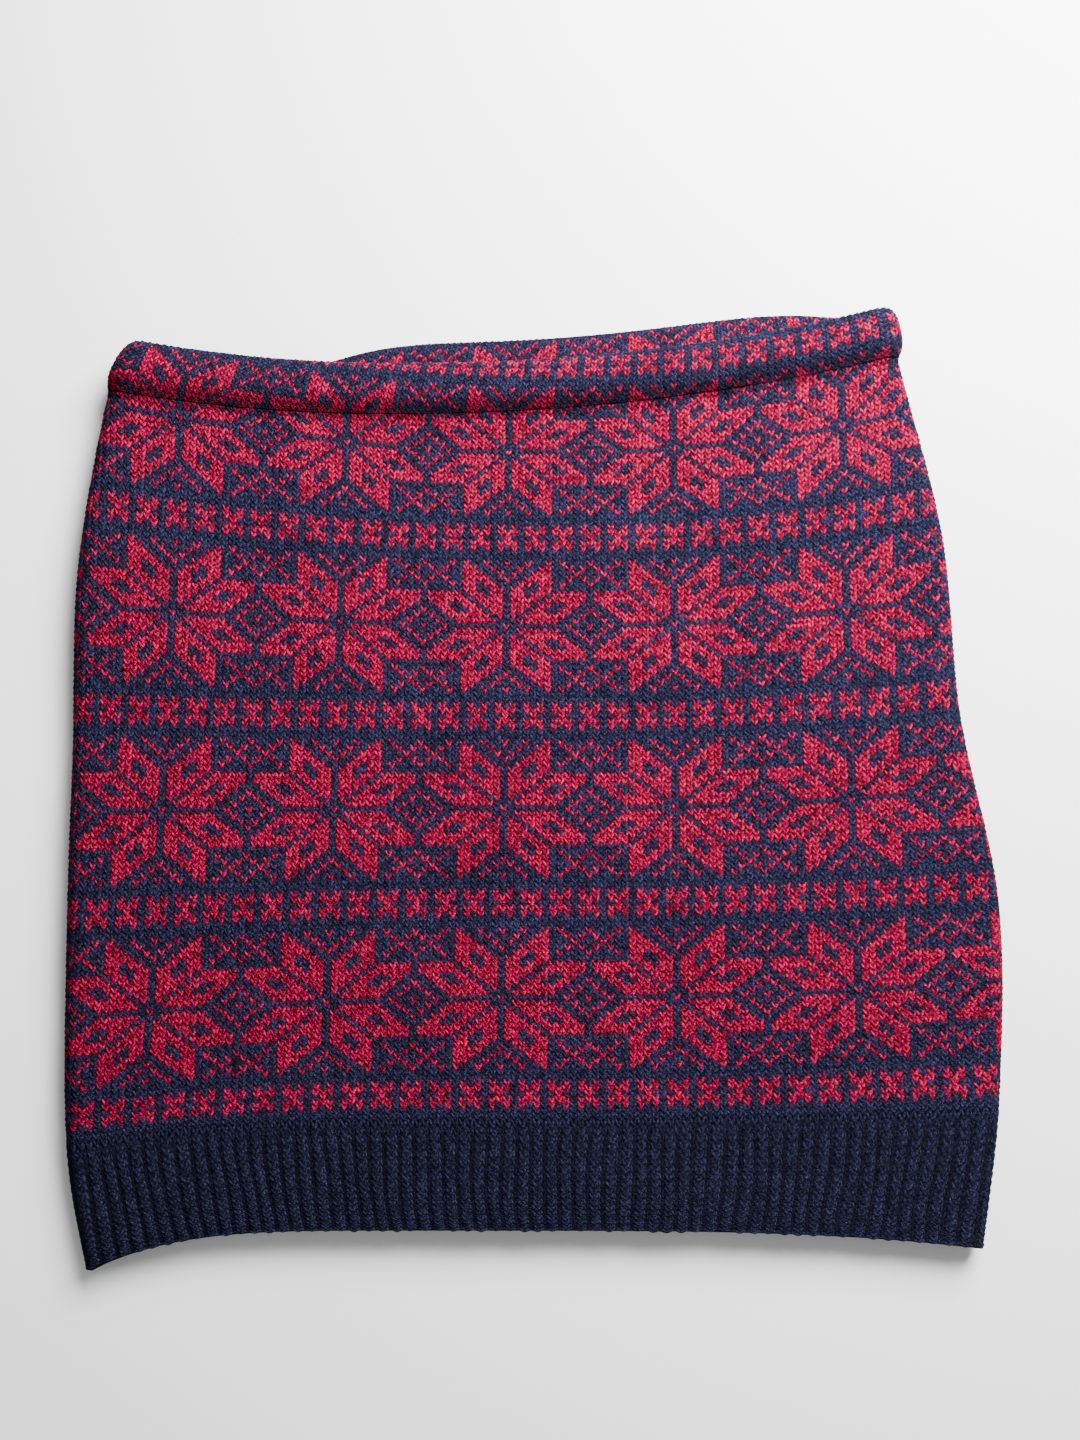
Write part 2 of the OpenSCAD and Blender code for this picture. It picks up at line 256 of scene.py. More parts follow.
def front_y(wale, course):
    """The front's distance up, eased so that its first course starts exactly on the top of the rib."""
    start = level_y(wale_x(wale, RIB_TOP_COURSE), RIB_LEVEL + 0 * wale, 1)
    fade = np.clip(1 - (course - RIB_TOP_COURSE) / EASED_COURSES, 0, 1) ** 2
    return course_y(wale, course) + (start - course_y(wale, RIB_TOP_COURSE)) * fade


def back_waist_course(wale):
    """The course in which each wale of the back meets the waist seam: the same all along, but for a slant."""
    return 76.0 + 0.03 * wale


def stitch_level(wale, course, side):
    """Level of a stitch. The back's courses are spread evenly between the rib and the waist seam."""
    if side > 0:
        return level_at(wale_x(wale, course), front_y(wale, course))
    share = (course - RIB_TOP_COURSE) / (back_waist_course(wale) - RIB_TOP_COURSE)
    return RIB_LEVEL + (WAIST_LEVEL - RIB_LEVEL) * share


def seam_wales(courses, side):
    """The wales at which each course meets the left and right side seams, by repeated correction."""
    found = []
    for end in (-1, 1):
        wale = np.full_like(courses, END_WALE * end)
        for _ in range(CORRECTIONS):
            g = stitch_level(wale, courses, side)
            width, shift = profile(g)[:2]
            target = shift + end * (width - EDGE_ROUND + turn_length(g))
            wale = wale + (target - wale_x(wale, courses)) / WALE_PITCH * CORRECTION_SHARE
        found.append(wale)
    return found


def waist_courses(wales, side):
    """The course in which each wale meets the waist seam, by repeated correction."""
    if side < 0:
        return back_waist_course(wales)
    course = np.full_like(wales, END_COURSE)
    for _ in range(CORRECTIONS):
        x = wale_x(wales, course)
        short = level_y(x, WAIST_LEVEL + 0 * x, 1) - front_y(wales, course)
        course = course + short / COURSE_PITCH * CORRECTION_SHARE
    return course


class Lay:
    """One face of the skirt, front (side 1) or back (side -1), and where its stitches meet its seams."""

    def __init__(self, side):
        self.courses = np.arange(-64, 100, 0.5)
        self.left, self.right = seam_wales(self.courses, side)
        self.wales = np.arange(-72, 76, 0.5)
        self.top = waist_courses(self.wales, side)

    def hold(self, wale, course):
        """Points of the stitches, held between the side seams and below the waist seam."""
        w = np.clip(wale, self.left.min(), self.right.max())
        for _ in range(16):
            c = np.minimum(course + climb(w), np.interp(w, self.wales, self.top))
            w = np.clip(wale, np.interp(c, self.courses, self.left), np.interp(c, self.courses, self.right))
        return w, c

    def between(self, course):
        """The wales at which a border meets the left and right side seams.

        A course above the middle star's stands for the waist seam, whose course differs from wale to wale, so
        its two ends are found by going to and fro between the seams.
        """
        low, high = np.interp(course, self.courses, self.left), np.interp(course, self.courses, self.right)
        if course > 0:
            for _ in range(8):
                low = np.interp(np.interp(low, self.wales, self.top), self.courses, self.left)
                high = np.interp(np.interp(high, self.wales, self.top), self.courses, self.right)
        return float(low), float(high)


# ---------------------------------------------------------------------------------------------------------
# Meshes from grids
# ---------------------------------------------------------------------------------------------------------


WELD_GRID = 2e-3  # points in the same cell of this grid are one point


def weld(points, faces):
    """Points that fall together become one.

    Gives the points left, the faces, which corners doubled up, and which faces still have an area.
    """
    cells = np.round(points / WELD_GRID).astype(np.int64)
    _, first, index = np.unique(cells, axis=0, return_index=True, return_inverse=True)
    welded = index.reshape(-1)[faces]
    double = welded == np.roll(welded, -1, 1)
    crossed = (welded[:, 0] == welded[:, 2]) | (welded[:, 1] == welded[:, 3])
    keep = (double.sum(1) < 2) & ~(crossed & (double.sum(1) == 0))
    return points[first], welded, double, keep


class Fabric:
    """Joins grids of points into one welded mesh, with a stitch map and values on its faces."""

    # Face values: red, nearness to red, a random tone, and dark, which darkens a face. dark carries painted
    # shade in the rib's furrows and in the groove under the front casing, and darkens the lining and the cut
    # edges; in the rib, tone also carries a painted highlight along the fine ridges.
    LAYERS = ("red", "near", "tone", "dark")

    def __init__(self):
        self.points, self.faces, self.maps, self.values, self.rim = [], [], [], [], []
        self.count = 0

    def record(self, points, faces, flip, stitch, values, rim):
        """Keeps one stretch of the mesh. rim is 1 for a strip that closes an edge, and 0 for a skin."""
        faces = faces[:, ::-1] if flip else faces
        self.points.append(points)
        self.faces.append(faces + self.count)
        self.maps.append(stitch)
        self.values.append(values)
        self.rim.append(np.full(len(faces), float(rim)))
        self.count += len(points)

    def add(self, points, stitch, flip=False, values=None):
        """points is a grid, (rows, columns, 3). stitch is the same grid's (wale, course)."""
        rows, columns = points.shape[:2]
        i = np.arange(rows - 1)[:, None] * columns + np.arange(columns - 1)[None, :]
        faces = np.stack([i, i + 1, i + columns + 1, i + columns], -1).reshape(-1, 4)
        values = np.zeros((len(faces), len(self.LAYERS))) if values is None else values
        self.record(points.reshape(-1, 3), faces, flip, stitch.reshape(-1, 2), values, 0)

    def strip(self, fine, coarse, flip, stitch, values):
        """Closes the gap between two edges, where the fine one has two points for each one of the coarse."""
        k = np.arange(len(coarse) - 1)
        f, c = 2 * k, len(fine) + k
        quads = np.concatenate([
            np.stack([f, f + 1, c + 1, c], -1),
            np.stack([f + 1, f + 2, c + 1, c + 1], -1),
        ])
        marks, values = np.concatenate([stitch, stitch[::2]]), np.concatenate([values, values])
        self.record(np.concatenate([fine, coarse]), quads, flip, marks, values, 1)

    def build(self, name):
        """Makes the object. Corners that doubled up are dropped, so a squeezed quad becomes a triangle.

        Edges between a skin and a closing strip are sharp, so that the skin's shading runs on over a seam.
        """
        collected = (self.points, self.maps, self.faces, self.values, self.rim)
        points, maps, faces, values, rim = (np.concatenate(parts) for parts in collected)
        points, welded, double, keep = weld(points, faces)
        faces, welded, double, values = faces[keep], welded[keep], double[keep], values[keep]
        sizes = 4 - double.sum(1)
        mesh = bpy.data.meshes.new(name)
        mesh.vertices.add(len(points))
        mesh.vertices.foreach_set("co", (points * MM).astype(np.float32).ravel())
        mesh.loops.add(int(sizes.sum()))
        mesh.loops.foreach_set("vertex_index", welded[~double].astype(np.int32))
        mesh.polygons.add(len(sizes))
        mesh.polygons.foreach_set("loop_start", (np.cumsum(sizes) - sizes).astype(np.int32))
        layer = mesh.uv_layers.new(name="stitches")
        layer.data.foreach_set("uv", maps[faces[~double]].astype(np.float32).ravel())
        for k, label in enumerate(self.LAYERS):
            attribute = mesh.attributes.new(label, "FLOAT", "FACE")
            attribute.data.foreach_set("value", values[:, k].astype(np.float32))
        mesh.polygons.foreach_set("use_smooth", np.ones(len(sizes), bool))
        mesh.update(calc_edges=True)
        edge = np.empty(len(mesh.loops), np.int32)
        mesh.loops.foreach_get("edge_index", edge)
        on_rim = np.bincount(edge, np.repeat(rim[keep], sizes), len(mesh.edges))
        sharp = mesh.attributes.new("sharp_edge", "BOOLEAN", "EDGE")
        sharp.data.foreach_set("value", on_rim == 1)
        mesh.validate(clean_customdata=False)
        piece = bpy.data.objects.new(name, mesh)
        bpy.context.scene.collection.objects.link(piece)
        return piece


def finish_piece(piece, node, finish):
    """Gives a piece its material and its body, and hides the frame's part for the node that it stands for."""
    piece.data.materials.append(finish)
    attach(piece, "root")
    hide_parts(node)
    return piece


# ---------------------------------------------------------------------------------------------------------
# Stitches
# ---------------------------------------------------------------------------------------------------------

LEG_CLIMB = 0.95  # share of a course that a leg of a stitch climbs
COURSE_RELIEF = 0.66  # depth of the line between two courses of legs
WALE_RELIEF = 0.62  # depth of the line between two wales
HEART_RELIEF = 0.20  # depth where the two legs of a stitch meet
TONES = 400  # the yarn's tones repeat after so many wales or courses
JITTER_LIMIT = 2.2  # no random shift is more than this many times the usual one
WAVES = 7
WAVES_LEVEL = 3.2  # what the sum of the waves is divided by, to lie about between -1 and 1
CUT_EDGE = np.array([0, 0, 0.5, 0.4])  # red, near, tone and dark of the strips that close a sheet
RIB_EDGE = np.array([0, 0, 0.5, 0.5])
LINING_DARK = 0.5


def climb(wale):
    """How far a point of a stitch stands above its course, in courses: up at the sides, down between."""
    return (np.abs(wale - np.round(wale)) * 2 - 0.5) * LEG_CLIMB


def stitch_depth(wale, course, sizes):
    """How far below full thickness a point of a stitch lies: round across each leg, deep beside each wale."""
    aside = np.abs(wale - np.round(wale)) * 2
    between_courses = COURSE_RELIEF * np.abs(np.sin(math.pi * course))
    return sizes.relief * (between_courses + WALE_RELIEF * aside**2 + HEART_RELIEF * (1 - aside) ** 2)


def stitch_values(wales, courses, seed, dark=0.0):
    """Red, nearness to red, tone and darkness for every leg of a grid of half stitches."""
    w, c = np.meshgrid((wales[1:] + wales[:-1]) / 2, (courses[1:] + courses[:-1]) / 2)
    w, c = np.round(w), np.round(c)
    near = sum(red_yarn(w + a, c + b) for a in (-1, 0, 1) for b in (-1, 0, 1)) / 9
    tones = np.random.default_rng(seed).random((TONES, 2, TONES))
    leg = (np.arange(w.shape[1]) % 2)[None, :] + 0 * w.astype(int)
    tone = tones[np.mod(c, TONES).astype(int), leg, np.mod(w, TONES).astype(int)]
    charted = c > RIB_TOP_COURSE + 1
    return np.stack([red_yarn(w, c) * charted, near * charted, tone, dark + 0 * w], -1).reshape(-1, 4)


def smooth_noise(x, y, period, seed):
    """A gentle unevenness from -1 to 1: a few slow waves in random directions, added together."""
    random = np.random.default_rng(seed)
    total = 0
    for _ in range(WAVES):
        angle, phase = random.random(2) * 2 * math.pi
        scale = period * (0.6 + random.random())
        total = total + np.sin((x * math.cos(angle) + y * math.sin(angle)) * 2 * math.pi / scale + phase)
    return total / WAVES_LEVEL


def close_sheet(fabric, outer, inner, stitch, side, value):
    """Joins the outer skin of a sheet of fabric to its inner one along all four edges."""
    flip = side < 0
    edges = (
        (outer[0], inner[0], stitch[0], not flip),
        (outer[-1], inner[-1], stitch[-1], flip),
        (outer[:, 0], inner[:, 0], stitch[:, 0], flip),
        (outer[:, -1], inner[:, -1], stitch[:, -1], not flip),
    )
    for fine, coarse, marks, turned in edges:
        values = np.tile(value, (len(coarse) - 1, 1))
        fabric.strip(fine, coarse, turned, marks, values)


def jitter(shape, amount, seed):
    """Small random shifts, one to a point, that make each stitch a little different from the next."""
    limit = JITTER_LIMIT * amount
    return np.clip(np.random.default_rng(seed).normal(0, amount, shape), -limit, limit)


ROLL, ROLL_PERIOD = 0.9, 75  # the slow roll of the lying fabric
PUCKER, PUCKER_PERIOD, PUCKER_FADE = 0.9, 26, 26  # the gathers below the waist seam
DIP, DIP_FADE = 0.5, 13  # how the front sinks towards the waist seam


def body_face(name, side, sizes):
    """One patterned face of the body: a grid of half stitches from the rib's top to the waist seam.

    Each stitch is two leaning legs. The grid's rows follow the legs, so they zigzag up and down along a
    course, and each row is high along a leg's middle and low between two legs. The inner skin is plain. The
    whole face rolls gently, is puckered below the waist seam, and dips towards it on the front.
    """
    lay = Lay(side)
    courses = np.arange(-111, 172 if side > 0 else 162) / 2
    w0, c0 = np.meshgrid(WALES, courses)
    w, c = lay.hold(w0, c0)
    g = np.minimum(stitch_level(w, c, side), WAIST_LEVEL)
    below = (WAIST_LEVEL - g) * QUARTER_H
    inside = (w == w0) & (np.abs(c - c0 - climb(w0)) < 1e-6) & (c0 > courses[0])
    loose = inside * sizes.unevenness
    share, turn = station(wale_x(w, c) + loose * jitter(w.shape, 0.22, 61 + side), g)
    marks = np.stack([w, c - climb(w)], -1)
    depth = stitch_depth(*np.moveaxis(marks, -1, 0), sizes)
    depth = depth + loose * np.abs(jitter(w.shape, 0.10, 71 + side))
    depth = depth * eased(0.3 + below / 2.5)
    y = front_y(w, c) if side > 0 else None
    roll = smooth_noise(w * WALE_PITCH, c * COURSE_PITCH, ROLL_PERIOD, 5 + side) - 1
    wave = ROLL * roll * eased((WAIST_LEVEL - g) * 4)
    wave = wave * eased((g - RIB_LEVEL) * 4) * np.cos(turn) ** 2
    pucker = smooth_noise(w * WALE_PITCH, 0.12 * c * COURSE_PITCH, PUCKER_PERIOD, 9 + side) - 1
    wave = wave + PUCKER * pucker * np.exp(-below / PUCKER_FADE) * eased(below / 6) * np.cos(turn) ** 2
    wave = np.minimum(wave, 0) - DIP * (1 - eased(below / DIP_FADE)) * np.cos(turn) ** 2 * (side > 0)
    outer = place(share, turn, g, side, KNIT_T / 2 - depth + wave, y)
    off_seams = np.minimum(1, np.minimum(WAIST_LEVEL - g, g - RIB_LEVEL) * 20)
    outer[..., 1] += loose * jitter(w.shape, 0.18, 81 + side) * off_seams
    y_in = None if y is None else y[::2, ::2]
    inner = place(share[::2, ::2], turn[::2, ::2], g[::2, ::2], side, wave[::2, ::2] - KNIT_T / 2, y_in)
    fabric = Fabric()
    # Painted shade: the front is darkened over about 7 mm below the waist seam, where the casing shades it.
    shade = 0.3 * (1 - eased((below[1:, 1:] + below[:-1, :-1]) / 14)) * (side > 0)
    fabric.add(outer, flip=side < 0, stitch=marks, values=stitch_values(WALES, courses, 11 + side, shade))
    columns, rows = WALES[::2], courses[::2]
    lining = stitch_values(columns, rows, 31, LINING_DARK)
    fabric.add(inner, flip=side > 0, stitch=marks[::2, ::2], values=lining)
    close_sheet(fabric, outer, inner, marks, side, CUT_EDGE)
    return fabric.build(name)


def even_columns(low, high, per_wale):
    """Columns at an even share of a stitch between two seams, with an even number of gaps, ends included."""
    inside = np.arange(math.ceil(low * per_wale), math.floor(high * per_wale) + 1) / per_wale
    columns = np.unique(np.concatenate([[low], inside, [high]]))
    if (len(columns) - 1) % 2:
        columns = np.insert(columns, 1, (columns[0] + columns[1]) / 2)
    return columns


FORMING_COURSES = 2.5  # courses in which the body's stitches become ribs
RIDGE = 0.5
RIB_TONES = 200


def furrow(wale, slope):
    """1 in the middle of a furrow and 0 on the raised wales, rising over a slope given in wales."""
    return eased((np.abs(np.mod(wale, 2) - 1) - 0.3) / slope)


def beside_furrow(wale, reach):
    """True on the fine ridge at the side of a furrow."""
    return np.abs(np.mod(wale, 2) - 1.5) < reach


def rib_values(columns, rows, seed):
    """The rib's face values: all navy, with painted shade in the furrows and a painted highlight along the
    fine ridges.
    """
    w, r = np.meshgrid((columns[1:] + columns[:-1]) / 2, (rows[1:] + rows[:-1]) / 2)
    tones = np.random.default_rng(seed).random((RIB_COURSES + 2, 2, RIB_TONES))
    leg = (w > np.round(w)).astype(int)
    tone = tones[np.round(r).astype(int), leg, np.mod(np.round(w), RIB_TONES).astype(int)]
    formed = eased((RIB_COURSES - r) / FORMING_COURSES)
    ridge = beside_furrow(w, 0.2) * formed
    # Painted shade in the furrows.
    dark = 0.60 * furrow(w, 0.5) * formed * (1 - ridge)
    # A painted highlight along each fine ridge, added to the tone.
    return np.stack([0 * tone, 0 * tone, tone + 0.7 * ridge, dark], -1).reshape(-1, 4)


def to_seams(share, turn, wale, at_end):
    """Puts the first and last columns of a grid exactly on the side seams."""
    end = np.sign(wale)
    return np.where(at_end, end, share), np.where(at_end, end * math.pi / 2, turn)


def hem_rib(name, side, sizes):
    """One face of the one by one rib, whose wales run on from the body's.

    Every other wale is a broad raised column of leaning legs, and the wales between sink into narrow furrows,
    with a fine ridge at one side of each. These changes fade out over the first courses below the body, and
    the two pieces share one zigzag edge.
    """
    lay = Lay(side)
    low, high = lay.between(RIB_TOP_COURSE)
    columns = even_columns(low, high, 4)
    rows = np.arange(0, RIB_COURSES * 2 + 1) / 2
    w, r = np.meshgrid(columns, rows)
    inside = (w > low) & (w < high) & (r > 0) & (r < RIB_COURSES)
    loose = inside * sizes.unevenness
    level = np.maximum(r + climb(w) * np.clip(r, 0, 1), 0)
    formed = eased((RIB_COURSES - r) / FORMING_COURSES)
    sunk = furrow(w, 0.6) * formed
    course = r - RIB_COURSES + RIB_TOP_COURSE
    depth = stitch_depth(w, course, sizes) * (1 - 0.4 * sunk) + sizes.rib_depth * sunk
    depth = depth * np.clip(r, 0.3, 1) + loose * np.abs(jitter(w.shape, 0.07, 21 + side))
    depth = depth - RIDGE * beside_furrow(w, 0.1) * formed * inside
    spread = -0.10 * np.sin(math.pi * w) * formed * inside
    drift = 0.25 * smooth_noise(w * WALE_PITCH, r * 2.7, 50, 71) * inside * formed * eased(r / 4)
    across = wale_x(w + spread + drift, RIB_TOP_COURSE) + loose * jitter(w.shape, 0.10, 31 + side)
    g = level / RIB_COURSES * RIB_LEVEL
    share, turn = to_seams(*station(across, RIB_LEVEL + 0 * g), w, (w == low) | (w == high))
    out = KNIT_T / 2 - depth
    outer = place(share, turn, g, side, out)
    scallop = 0.8 * np.cos(math.pi * w) + 0.7 * smooth_noise(w * WALE_PITCH, 0 * w, 16, 77)
    outer[..., 1] += 0.5 * np.clip(1 - r / 1.5, 0, 1) * (scallop + 1.2)
    above = level > RIB_COURSES
    shared = level - RIB_COURSES + RIB_TOP_COURSE
    g_above = stitch_level(w, shared, side)
    y_above = front_y(w, shared) if side > 0 else None
    joined = place(*station(wale_x(w, shared), g_above), g_above, side, out, y_above)
    outer = np.where(above[..., None], joined, outer)
    g_in = np.minimum(g, RIB_LEVEL)[::2, ::2]
    inner = place(share[::2, ::2], turn[::2, ::2], g_in, side, -KNIT_T / 2 + 0 * g_in)
    marks = np.stack([w, course], -1)
    fabric = Fabric()
    fabric.add(outer, flip=side < 0, stitch=marks, values=rib_values(columns, rows, 17 + side))
    fabric.add(inner, flip=side > 0, stitch=marks[::2, ::2])
    close_sheet(fabric, outer, inner, marks, side, RIB_EDGE)
    return fabric.build(name)


# The casing's section is an ellipse, as long as the casing is high, cut off where it is one layer thick.
OVAL_CUT = math.sqrt(1 - (KNIT_T / CASING_T) ** 2)
OVAL_A = CASING_H / (1 + OVAL_CUT)
OVAL_MID = OVAL_A * OVAL_CUT
OVAL_START = math.pi - math.acos(OVAL_CUT)
OVAL_LENGTH = 62.0  # fabric round the section, from the waist seam to the same seam inside
OVAL_STEPS = 400
CASING_RELIEF = 0.65  # the stitches are drawn flatter over the elastic


def casing_point(share, turn, side, along, out):
    """A point of the casing: along is the distance from the waist seam towards the fold."""
    seam = place(share, turn, WAIST_LEVEL + 0 * out, side, out)
    fold = place(share, turn, FOLD_LEVEL + 0 * out, side, out)
    return seam + (fold - seam) * (along / CASING_H)[..., None]


def oval(length, inset):
    """A point on the casing's section, a length of fabric round from the waist seam on the outer side.

    The section is an ellipse cut off at the seam. A table of its running length is read backwards.
    """
    angle = np.linspace(OVAL_START, -OVAL_START, OVAL_STEPS)
    x, z = OVAL_MID + OVAL_A * np.cos(angle), CASING_T / 2 * np.sin(angle)
    run = np.concatenate([[0], np.cumsum(np.hypot(np.diff(x), np.diff(z)))])
    at = np.interp(length, run, angle)
    nx, nz = np.cos(at) / OVAL_A, np.sin(at) / (CASING_T / 2)
    size = np.hypot(nx, nz)
    along = OVAL_MID + OVAL_A * np.cos(at) - inset * nx / size
    return np.maximum(along, 0), CASING_T / 2 * np.sin(at) - inset * nz / size


def inner_oval(length, total):
    """The inner face of the casing's wall: a smaller ellipse with the same cut angles."""
    at = OVAL_START * (1 - 2 * length / total)
    return OVAL_MID + (OVAL_A - KNIT_T) * np.cos(at), (CASING_T / 2 - KNIT_T) * np.sin(at)


def waist_casing(name, side, sizes):
    """One half of the waist casing: the body's wales run on round an oval and back to the waist seam.

    The chart runs on too. The section starts at the waist seam on the outside, passes over the fold, and ends
    at the seam inside, where it is sewn down.
    """
    lay = Lay(side)
    low, high = lay.between(END_COURSE)
    columns = even_columns(low, high, 2)
    top = np.interp(columns, lay.wales, lay.top)
    base = np.round(top.min() * 2) / 2
    count = int(OVAL_LENGTH / COURSE_PITCH + top.max() - top.min() + 3)
    courses = base - 1 + np.arange(0, 2 * count + 1) / 2
    if (len(courses) - 1) % 2:
        courses = np.append(courses, courses[-1] + 0.5)
    w, c0 = np.meshgrid(columns, courses)
    c = c0 + climb(w) - top[None, :]
    length = np.clip(c * COURSE_PITCH, 0, OVAL_LENGTH)
    marks = np.stack([w, length / COURSE_PITCH + top[None, :] - climb(w)], -1)
    depth = CASING_RELIEF * stitch_depth(*np.moveaxis(marks, -1, 0), sizes)
    inside = (length > 0) & (length < OVAL_LENGTH)
    depth = depth + inside * sizes.unevenness * np.abs(jitter(w.shape, 0.10, 91 + side))
    pucker = 0.45 * smooth_noise(w * WALE_PITCH, 0 * w, 22, 41 + side)
    pucker = pucker * np.sin(np.clip(length / (OVAL_LENGTH / 2), 0, 1) * math.pi) ** 2
    length = length + inside * sizes.unevenness * jitter(w.shape, 0.15, 95 + side)
    along, out = oval(length, depth + 0.3 + 0.3 * pucker)
    fullness = 0.35 * eased(length / 9) if side > 0 else 0
    out = np.where(out > 0, out * (1 + fullness), out)
    at_waist = WAIST_LEVEL + 0 * w
    share, turn = to_seams(*station(wale_x(w, top[None, :] + 0 * w), at_waist), w, (w == low) | (w == high))
    outer = casing_point(share, turn, side, along, out)
    along_in, out_in = inner_oval(length[::2, ::2], OVAL_LENGTH)
    inner = casing_point(share[::2, ::2], turn[::2, ::2], side, along_in, out_in)
    fabric = Fabric()
    # Painted shade: the front casing is darkened over about 13 mm of fabric from the waist seam, on its lower
    # side that turns away from the light into the groove.
    shade = 0.62 * (1 - eased((length[1:, 1:] + length[:-1, :-1]) / 26)) * (side > 0)
    fabric.add(outer, flip=side < 0, stitch=marks, values=stitch_values(columns, courses, 51 + side, shade))
    fabric.add(inner, flip=side > 0, stitch=marks[::2, ::2])
    close_sheet(fabric, outer, inner, marks, side, CUT_EDGE)
    return fabric.build(name)


# ---------------------------------------------------------------------------------------------------------
# Elastic and threads
# ---------------------------------------------------------------------------------------------------------


def waist_round(count):
    """Stations right round the waist, from the middle of the back to itself: share, turn and side."""
    flat = LEVEL_WIDTH[WAIST_LEVEL] / 2 - EDGE_ROUND
    arc = float(turn_length(np.array(float(WAIST_LEVEL))))
    whole = 4 * (flat + arc)
    t = np.linspace(0, whole, count)
    leaving, coming = t < flat + arc, t > whole - flat - arc
    side = np.where(leaving | coming, -1, 1)
    reach = np.where(leaving, t, np.where(coming, t - whole, 2 * (flat + arc) - t))
    share = np.clip(reach / flat, -1, 1)
    turn = np.clip((np.abs(reach) - flat) / arc, 0, 1) * math.pi / 2 * np.sign(reach)
    return share, turn, side


THREAD_SIDES = 8
PLIES = 2
PLY_DEPTH = 0.18  # depth of the line between two plies, as a share of the radius
TWIST = 3.0  # thread diameters in which the plies wind once round


def tube(path, radius, closed, twist):
    """A thread: a round profile carried along a path, with its plies winding round it as shallow grooves.

    The profile stands square to the path. Its radius drops where two plies meet, and the place of that line
    turns steadily along the thread.
    """
    ahead = np.roll(path, -1, 0) - np.roll(path, 1, 0)
    if not closed:
        ahead[0], ahead[-1] = path[1] - path[0], path[-1] - path[-2]
    ahead /= np.linalg.norm(ahead, axis=1)[:, None]
    up = np.where(np.abs(ahead[:, 2:3]) < 0.9, [[0, 0, 1.0]], [[1.0, 0, 0]])
    u = np.cross(ahead, up)
    u /= np.linalg.norm(u, axis=1)[:, None]
    v = np.cross(ahead, u)
    run = np.concatenate([[0], np.cumsum(np.linalg.norm(np.diff(path, axis=0), axis=1))])
    a = np.linspace(0, 2 * math.pi, THREAD_SIDES + 1)
    wind = a[None, :] * PLIES + 2 * math.pi * run[:, None] / (radius * 2 * twist) * PLIES
    r = radius * (1 - PLY_DEPTH * (0.5 + 0.5 * np.cos(wind)))
    r[:, -1] = r[:, 0]
    round_u, round_v = np.cos(a)[None, :, None] * u[:, None, :], np.sin(a)[None, :, None] * v[:, None, :]
    points = path[:, None, :] + r[..., None] * (round_u + round_v)
    if closed:
        points = np.concatenate([points, points[:1]])
    else:
        points = np.concatenate([path[:1, None] + 0 * points[:1], points, path[-1:, None] + 0 * points[-1:]])
    rows = np.arange(points.shape[0])[:, None] + 0.0 * a[None, :]
    return points, np.stack([a[None, :] / math.pi + 0 * rows, rows], -1)


def build_tube(name, path, radius, closed=False, twist=TWIST):
    """One thread as an object, with a random tone for each of its faces."""
    points, marks = tube(path, radius, closed, twist)
    tone = np.random.default_rng(5).random((points.shape[0] - 1) * (points.shape[1] - 1))
    fabric = Fabric()
    fabric.add(points, stitch=marks, values=np.stack([0 * tone, 0 * tone, tone, 0 * tone], -1))
    return fabric.build(name)


ELASTIC_W, ELASTIC_CORDS = 20.0, 16
ELASTIC_GAP = 0.3  # from the middle of the back to each end of the band


def woven_elastic(name):
    """The band of elastic: fine cords run along it, and its thickness swells over each of them.

    The profile across is a row of small round ribs on both faces with a thin selvedge at each side.
    """
    count, across = 1100, 33
    share, turn, side = waist_round(count)
    lift = np.linspace(-ELASTIC_W / 2, ELASTIC_W / 2, across)[None, :]
    cord = 0.5 + 0.5 * np.cos(np.linspace(0, ELASTIC_CORDS * 2 * math.pi, across))[None, :]
    weave = 0.06 * np.sin(np.arange(count) * math.pi * 0.5)[:, None]
    half = 0.42 + 0.12 * cord + weave * cord
    half = np.where(np.abs(lift) > ELASTIC_W / 2 - 0.1, 0.25, half)  # the selvedges
    along = OVAL_MID + lift + 0 * half
    faces = []
    for sign in (1, -1):
        out = half * sign
        line = share[:, None] + 0 * out, turn[:, None] + 0 * out
        front, back = (casing_point(*line, s, along, out * s) for s in (1, -1))
        faces.append(np.where((side > 0)[:, None, None], front, back))
    for points in faces:
        points[0, :, 0] += ELASTIC_GAP
        points[-1, :, 0] -= ELASTIC_GAP
    marks = np.stack(np.meshgrid(np.linspace(0, ELASTIC_CORDS, across), np.arange(count) / 4.0), -1)
    tone = np.random.default_rng(3).random((count - 1) * (across - 1))
    values = np.stack([0 * tone, 0 * tone, tone, 0 * tone], -1)
    fabric = Fabric()
    fabric.add(faces[0], flip=False, stitch=marks, values=values)
    fabric.add(faces[1], flip=True, stitch=marks, values=values)
    selvedge = marks[:, :2].transpose(1, 0, 2)
    for k, turned in ((0, True), (-1, False)):
        fabric.add(np.stack([faces[0][:, k], faces[1][:, k]]), flip=not turned, stitch=selvedge)
        fabric.add(np.stack([faces[0][k], faces[1][k]]), flip=turned, stitch=marks[:2])
    return fabric.build(name)


ZIGZAG_STITCHES = 8
POINTS_PER_STITCH = 6


def zigzag_path(radius):
    """The thread that joins the elastic's ends: to and fro across its node's box, and once along it."""
    low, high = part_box("elastic_join_thread")
    turns = np.linspace(0, ZIGZAG_STITCHES, ZIGZAG_STITCHES * POINTS_PER_STITCH + 1)
    swing = np.abs(np.mod(turns, 2) - 1) * 2 - 1
    reach = (high[0] - low[0]) / 2 / MM - radius
    span = (high[1] - low[1]) / MM - 2 * radius
    x, y, z = ((low[k] + high[k]) / 2 / MM for k in range(3))
    return np.stack([x + reach * swing, y + (turns / ZIGZAG_STITCHES - 0.5) * span, z + 0 * turns], -1)


